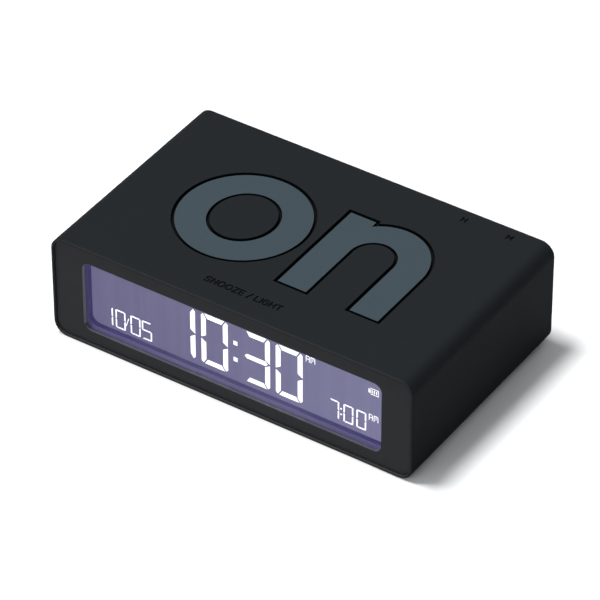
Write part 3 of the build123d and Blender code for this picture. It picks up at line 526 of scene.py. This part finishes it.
def cell_wrap(name, nub, way):
    """A printed wrap: a pale band, an orange stripe and a bare cap from the nub on, and a bare base."""
    tree, shader = plastic(name, (0.035, 0.075, 0.10), 0.3, grain=0.2 * MM, depth=0.005 * MM, smudge=0.2)
    place = add(tree, "ShaderNodeSeparateXYZ", Vector=object_coords(tree)).outputs[0]
    along = maths(tree, "MULTIPLY", maths(tree, "SUBTRACT", nub, place), way)
    wave = add(tree, "ShaderNodeTexNoise", Vector=object_coords(tree), Scale=60.0)
    edge = maths(tree, "ADD", along, ramp(tree, wave.outputs["Fac"], 0.0, 1.0, -0.05 * MM, 0.05 * MM))
    band = ramp(tree, edge, 11.0 * MM, 11.2 * MM, 1.0, 0.0)
    recolour(tree, shader, band, (0.55, 0.57, 0.58), 0.28)
    stripe_start = ramp(tree, edge, 11.9 * MM, 12.0 * MM)
    stripe_end = ramp(tree, edge, 12.6 * MM, 12.7 * MM, 1.0, 0.0)
    stripe = maths(tree, "MULTIPLY", stripe_start, stripe_end)
    recolour(tree, shader, stripe, (0.60, 0.25, 0.03), 0.28)
    cap = ramp(tree, along, 0.95 * MM, 1.05 * MM, 1.0, 0.0)
    base = ramp(tree, along, CELL_LONG - 0.3 * MM, CELL_LONG - 0.2 * MM)
    bare = maths(tree, "ADD", cap, base, clamp=True)
    recolour(tree, shader, bare, (0.62, 0.61, 0.58), 0.25)
    tree.links.new(bare, shader.inputs["Metallic"])


def board_mask():
    """Green solder mask over copper lines, with tinned pads."""
    tree, shader = plastic("green_board", (0.010, 0.085, 0.035), 0.3, grain=0.3 * MM, smudge=0.1)
    turned = add(tree, "ShaderNodeMapping", Vector=object_coords(tree), Rotation=(pi / 2, 0, 0))
    lines = add(tree, "ShaderNodeTexBrick", Vector=turned.outputs[0], Scale=260.0, Mortar_Size=0.06)
    track = ramp(tree, lines.outputs["Fac"], 0.3, 0.7)
    recolour(tree, shader, track, (0.022, 0.16, 0.065), 0.28)
    spots = add(tree, "ShaderNodeTexVoronoi", Vector=object_coords(tree), Scale=330.0, Randomness=0.55)
    tinned = ramp(tree, spots.outputs["Distance"], 0.14, 0.17, 1.0, 0.0)
    recolour(tree, shader, tinned, (0.60, 0.60, 0.58), 0.3)
    tree.links.new(tinned, shader.inputs["Metallic"])


def make_finishes():
    make_grain_group()
    make_handling_group()
    make_drawn_group()
    sleeve_skin()
    pad_skin()
    bezel_skin()
    plastic("cover_plastic", (0.0160, 0.0170, 0.0190), 0.52, grain=0.25 * MM, depth=0.03 * MM)
    plastic("button_silicone", (0.030, 0.033, 0.037), 0.68, grain=0.2 * MM, specular=0.25)
    plastic("inner_plastic", (0.03, 0.031, 0.035), 0.55)
    violet_painted_glow()
    plastic("tape_film", (0.03, 0.027, 0.07), 0.7, depth=0.05 * MM)
    plastic("zebra_rubber", (0.18, 0.18, 0.20), 0.6)
    plastic("epoxy", (0.012, 0.012, 0.013), 0.4)
    plastic("fired_ceramic", (0.45, 0.32, 0.20), 0.5)
    plastic("white_plastic", (0.8, 0.8, 0.78), 0.4)
    board_mask()
    plastic("amber_film", (0.62, 0.28, 0.05), 0.3)
    plastic("red_insulation", (0.45, 0.015, 0.012), 0.4)
    plastic("black_insulation", (0.014, 0.014, 0.014), 0.4)
    cell_wrap("cell_print_front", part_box("cell_front")[1].x, 1.0)
    cell_wrap("cell_print_rear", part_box("cell_rear")[0].x, -1.0)
    plastic("silvered_ceramic", (0.7, 0.68, 0.62), 0.35)
    metal("bright_nickel", (0.70, 0.68, 0.63), 0.25)
    metal("zinc_steel", (0.60, 0.60, 0.61), 0.32)
    metal("black_screw", (0.09, 0.09, 0.095), 0.38)
    metal("rolled_brass", (0.75, 0.56, 0.24), 0.3)
    metal("drawn_can", (0.72, 0.72, 0.74), 0.25)
    metal("tin_solder", (0.66, 0.66, 0.67), 0.22)
    clear("lens_acrylic", (0.99, 0.99, 1.0), 1.16)
    clear("thin_glass", (0.85, 0.87, 0.92), 1.5)
    lit_film("lit_display", (0.150, 0.138, 0.255), (0.195, 0.192, 0.325), 34.0 * MM)
    lit_figures("lit_figures")


FINISH_OF = {
    "casing_skin": ["sleeve"],
    "letter_pad_skin": ["inlay_on_o", "inlay_on_n", "inlay_off_o", "inlay_off_f1", "inlay_off_f2"],
    "bezel_plastic": ["front_bezel"],
    "cover_plastic": ["rear_cover", "battery_door"],
    "button_silicone": ["button_hour", "button_minute", "button_set"],
    "inner_plastic": ["chassis", "lcd_holder", "plunger_hour", "plunger_minute", "plunger_set"],
    "violet_plastic": ["display_spacer"],
    "tape_film": ["lens_tape"],
    "zebra_rubber": ["zebra_strips"],
    "epoxy": ["clock_chip", "chip_resistors", "tilt_base", "switch_housings"],
    "fired_ceramic": ["chip_capacitors"],
    "white_plastic": ["light_guide", "reflector_sheet", "backlight_leds"],
    "green_board": ["main_board", "button_board"],
    "amber_film": ["ribbon_cable"],
    "red_insulation": ["wire_positive", "buzzer_wires"],
    "black_insulation": ["wire_negative"],
    "cell_print_front": ["cell_front"],
    "cell_print_rear": ["cell_rear"],
    "silvered_ceramic": ["buzzer_ceramic"],
    "bright_nickel": [
        "contact_bridge", "contact_positive", "contact_negative", "contact_springs", "tilt_can",
        "touch_plates", "touch_contacts", "snap_dome_hour", "snap_dome_minute", "snap_dome_set",
    ],
    "zinc_steel": ["board_screws", "tilt_ball"],
    "black_screw": ["rear_cover_screws"],
    "rolled_brass": ["buzzer_plate"],
    "drawn_can": ["quartz_crystal", "reservoir_capacitor"],
    "lens_acrylic": ["display_lens"],
    "thin_glass": ["lcd_glass_front", "lcd_glass_rear", "polariser_rear"],
    "lit_display": ["polariser_front"],
}


def dress_nodes():
    for finish, names in FINISH_OF.items():
        for name in names:
            mesh = NODES[name].data
            mesh.materials.clear()
            mesh.materials.append(bpy.data.materials[finish])


# ---- the display's figures ----------------------------------------------------------------
FIGURE_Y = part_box("polariser_front")[0].y - 0.01 * MM
FIGURE_THICK = 0.04 * MM


def bar(x0, x1, z0, z1, cuts=()):
    """A flat lit bar on the display, trimmed by cuts: a point on each cut and the side to lose."""
    deselect()
    centre = ((x0 + x1) / 2, FIGURE_Y, (z0 + z1) / 2)
    bpy.ops.mesh.primitive_plane_add(size=1.0, location=centre, rotation=(pi / 2, 0, 0))
    piece = bpy.context.object
    piece.scale = (x1 - x0, z1 - z0, 1)
    bpy.ops.object.transform_apply(location=True, rotation=True, scale=True)
    bpy.ops.object.mode_set(mode="EDIT")
    for (x, z), (away_x, away_z) in cuts:
        bpy.ops.mesh.select_all(action="SELECT")
        bpy.ops.mesh.bisect(
            plane_co=(x, FIGURE_Y, z), plane_no=(away_x, 0, away_z), clear_outer=True, use_fill=False
        )
    bpy.ops.mesh.select_all(action="SELECT")
    bpy.ops.mesh.extrude_region_move(TRANSFORM_OT_translate={"value": (0, -FIGURE_THICK, 0)})
    bpy.ops.mesh.select_all(action="SELECT")
    bpy.ops.mesh.normals_make_consistent(inside=False)
    bpy.ops.object.mode_set(mode="OBJECT")
    return piece


def join(name, parts):
    """Makes one piece of several, with its place in its mesh."""
    deselect()
    for part in parts:
        part.select_set(True)
    bpy.context.view_layer.objects.active = parts[0]
    if len(parts) > 1:
        bpy.ops.object.join()
    piece = bpy.context.object
    piece.name = piece.data.name = name
    bpy.ops.object.transform_apply(location=True, rotation=True, scale=True)
    return piece


LIT = {"0": "abcdef", "1": "bc", "3": "abcdg", "5": "acdfg", "7": "abc"}


def digit(figure, x, z, width, height, thick):
    """Seven-segment figure with its lower left corner at x, z: mitred corners and notched waist."""
    gap = 0.17 * thick
    apex = 0.52 * thick
    mid = z + height / 2
    right, top = x + width, z + height
    steep = (0.84, 0.54)

    def segment(letter):
        if letter in "ad":
            flip = 1 if letter == "a" else -1
            edge = top if letter == "a" else z
            band = sorted((edge, edge - flip * thick))
            left_cut = ((x + apex + gap, edge), (-steep[0], -flip * steep[1]))
            right_cut = ((right - apex - gap, edge), (steep[0], -flip * steep[1]))
            return bar(x, right, band[0], band[1], (left_cut, right_cut))
        if letter == "g":
            low, high = mid - thick * 0.48, mid + thick * 0.48
            cuts = []
            for side, tip in ((-1, x + 0.3 * thick), (1, right - 0.45 * thick)):
                cuts += [((tip, mid), (side * 0.75, way * 0.66)) for way in (-1, 1)]
            return bar(x, right, low, high, cuts)
        on_right = letter in "bc"
        upper = letter in "bf"
        side, way = (1 if on_right else -1), (1 if upper else -1)
        outer = right if on_right else x
        end = top if upper else z
        start = mid + way * gap
        band_x = sorted((outer, outer - side * thick))
        band_z = sorted((start, end))
        mitre = ((outer - side * (apex - gap), end), (-side * steep[0], way * steep[1]))
        shoulder = ((outer - side * 0.50 * thick, end), (side * 0.70, way * 0.71))
        waist = ((outer - side * 0.12 * thick, start), (-side * 0.60, -way * 0.80))
        return bar(band_x[0], band_x[1], band_z[0], band_z[1], (mitre, shoulder, waist))

    return [segment(letter) for letter in LIT[figure]]


def add_figures():
    """The time, the date, the alarm time and the small marks."""
    big_z, big_high, big_thick = 4.83 * MM, 12.25 * MM, 1.10 * MM
    time = []
    for figure, x, width in (("1", -16.38, 6.4), ("0", -8.55, 6.15), ("3", 1.2, 6.1), ("0", 8.65, 6.1)):
        time += digit(figure, x * MM, big_z, width * MM, big_high, big_thick)
    for z in (8.45, 12.45):
        time.append(bar(-1.08 * MM, -0.18 * MM, z * MM, (z + 0.95) * MM))
    small_high, small_thick = 4.5 * MM, 0.30 * MM
    date = []
    for figure, x in (("1", -31.85), ("0", -28.85), ("0", -25.3), ("5", -22.6)):
        date += digit(figure, x * MM, 4.45 * MM, 2.35 * MM, small_high, small_thick)
    slash = [((-26.25 * MM, 5.9 * MM), (0.95, -0.3)), ((-25.8 * MM, 7.9 * MM), (-0.95, 0.3))]
    date.append(bar(-26.45 * MM, -25.4 * MM, 5.75 * MM, 7.9 * MM, slash))
    alarm = []
    for figure, x in (("7", 20.85), ("0", 24.05), ("0", 26.95)):
        alarm += digit(figure, x * MM, 4.85 * MM, 2.2 * MM, 4.35 * MM, small_thick)
    for z in (6.2, 7.55):
        alarm.append(bar(23.35 * MM, 23.68 * MM, z * MM, (z + 0.33) * MM))
    pieces = {"time_figures": time, "date_figures": date, "alarm_figures": alarm}
    for name, x, z in (("time_morning_mark", 15.5, 15.75), ("alarm_morning_mark", 29.75, 7.95)):
        pieces[name] = morning_mark(x * MM, z * MM)
    pieces["battery_mark"] = battery_mark(29.6 * MM, 14.3 * MM)
    for name, parts in pieces.items():
        piece = join(name, parts)
        piece.data.materials.append(bpy.data.materials["lit_figures"])
        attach(piece, "casing")


def morning_mark(x, z):
    """The letters A and M, drawn with plain bars."""
    high, wide, thick = 1.45 * MM, 0.85 * MM, 0.14 * MM
    parts = []
    for start, width in ((x, wide), (x + 1.1 * MM, 1.0 * MM)):
        end = start + width
        parts.append(bar(start, start + thick, z, z + high))
        parts.append(bar(end - thick, end, z, z + high - thick))
        parts.append(bar(start + thick, end - thick, z + high - thick, z + high))
    parts.append(bar(x + thick, x + wide - thick, z + 0.6 * MM, z + 0.6 * MM + thick))
    middle = x + 1.6 * MM
    parts.append(bar(middle - thick / 2, middle + thick / 2, z + 0.5 * MM, z + high - thick))
    return parts


def battery_mark(x, z):
    """A battery lying on its side, its tip to the left, with three bars in it."""
    wide, high, thick = 2.3 * MM, 1.5 * MM, 0.13 * MM
    left = x + 0.45 * MM
    parts = [
        bar(left, x + wide, z, z + thick),
        bar(left, x + wide, z + high - thick, z + high),
        bar(x + wide - thick, x + wide, z + thick, z + high - thick),
        bar(x, left, z + 0.3 * MM, z + high - 0.3 * MM),
    ]
    for step in range(3):
        start = left + (0.25 + 0.5 * step) * MM
        parts.append(bar(start, start + 0.22 * MM, z + 0.36 * MM, z + high - 0.36 * MM))
    return parts


# ---- pieces on the back and on the boards --------------------------------------------------
def select_faces(test):
    """In edit mode, selects just the faces whose centre and normal pass the test."""
    mesh = bmesh.from_edit_mesh(bpy.context.object.data)
    for face in mesh.faces:
        face.select_set(bool(test(face.calc_center_median(), face.normal)))
    mesh.select_flush_mode()
    bmesh.update_edit_mesh(bpy.context.object.data)


def settle(piece, name, finish, body):
    """Names a finished piece, dresses it and gives it the body that it moves with."""
    deselect()
    piece.select_set(True)
    bpy.context.view_layer.objects.active = piece
    bpy.ops.object.transform_apply(location=True, rotation=True, scale=True)
    bpy.ops.object.shade_smooth_by_angle(angle=radians(35))
    piece.name = piece.data.name = name
    piece.data.materials.clear()
    piece.data.materials.append(bpy.data.materials[finish])
    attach(piece, body)


def copies(piece, places):
    """The piece and a copy with its own mesh at each further place, joined as one."""
    made = [piece]
    for place in places:
        twin = piece.copy()
        twin.data = piece.data.copy()
        bpy.context.collection.objects.link(twin)
        twin.location = place
        made.append(twin)
    return join(piece.name, made)


def add_grip_ribs():
    """Three low ribs on the door beside the thumb scoop, each a pointed bar."""
    low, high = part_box("battery_door")
    face, middle = high.y, (low.z + high.z) / 2
    place = (high.x - 6.6 * MM, face, middle)
    size = (0.45 * MM, 0.30 * MM, 4.6 * MM)
    deselect()
    bpy.ops.mesh.primitive_cube_add(size=1.0, location=place, scale=size)
    rib = bpy.context.object
    bpy.ops.object.transform_apply(location=False, rotation=False, scale=True)
    bpy.ops.object.mode_set(mode="EDIT")
    select_faces(lambda centre, normal: normal.y > 0.9)
    bpy.ops.mesh.inset(thickness=0.09 * MM, depth=0.03 * MM)
    select_faces(lambda centre, normal: abs(normal.z) > 0.9)
    bpy.ops.mesh.extrude_region_move()
    bpy.ops.transform.resize(value=(0.35, 0.55, 1.08))
    bpy.ops.mesh.select_all(action="SELECT")
    bpy.ops.mesh.bevel(offset=0.04 * MM, segments=2)
    bpy.ops.mesh.normals_make_consistent(inside=False)
    bpy.ops.object.mode_set(mode="OBJECT")
    step = Vector((-1.15 * MM, 0, 0))
    ribs = copies(rib, [rib.location + step, rib.location + 2 * step])
    settle(ribs, "door_grip_ribs", "cover_plastic", "battery_door")


def add_solder_joints():
    """Tinned joints where the wires and the buzzer leads meet the back of the main board."""
    board_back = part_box("main_board")[1].y
    radius, thick = 0.72 * MM, 0.3 * MM
    deselect()
    bpy.ops.mesh.primitive_cylinder_add(
        vertices=20, radius=radius, depth=thick, rotation=(pi / 2, 0, 0)
    )
    joint = bpy.context.object
    joint.name = "solder_joints"
    bpy.ops.object.transform_apply(location=False, rotation=True, scale=False)
    bpy.ops.object.mode_set(mode="EDIT")
    for taper in (0.72, 0.62, 0.45):
        select_faces(lambda centre, normal: normal.y > 0.9)
        bpy.ops.mesh.extrude_region_move(TRANSFORM_OT_translate={"value": (0, 0.16 * MM, 0)})
        bpy.ops.transform.resize(value=(taper, 1, taper))
    bpy.ops.mesh.select_all(action="SELECT")
    bpy.ops.mesh.normals_make_consistent(inside=False)
    bpy.ops.object.mode_set(mode="OBJECT")
    y = board_back + thick / 2
    wire_ends = ((23.0, 18.9), (18.5, 18.9), (-12.8, 18.5), (-11.2, 18.5))
    spots = [(x * MM, y, z * MM) for x, z in wire_ends]
    joint.location = spots[0]
    settle(copies(joint, spots[1:]), "solder_joints", "tin_solder", "casing")


# ---- making -------------------------------------------------------------------------------
bpy.context.scene.view_settings.view_transform = "Standard"
add_camera()
add_world()
add_floor()
add_softbox("key_softbox", azimuth=-72, elevation=74, distance=1.6, size=0.4, power=25.5)
add_softbox("front_softbox", azimuth=-10, elevation=24, distance=1.8, size=1.2, power=9.8)
add_softbox("rear_softbox", azimuth=178, elevation=24, distance=1.8, size=1.0, power=4.5)
add_softbox("under_softbox", azimuth=20, elevation=-60, distance=1.8, size=1.2, power=16.0)
make_finishes()
dress_nodes()
add_figures()
add_grip_ribs()
add_solder_joints()
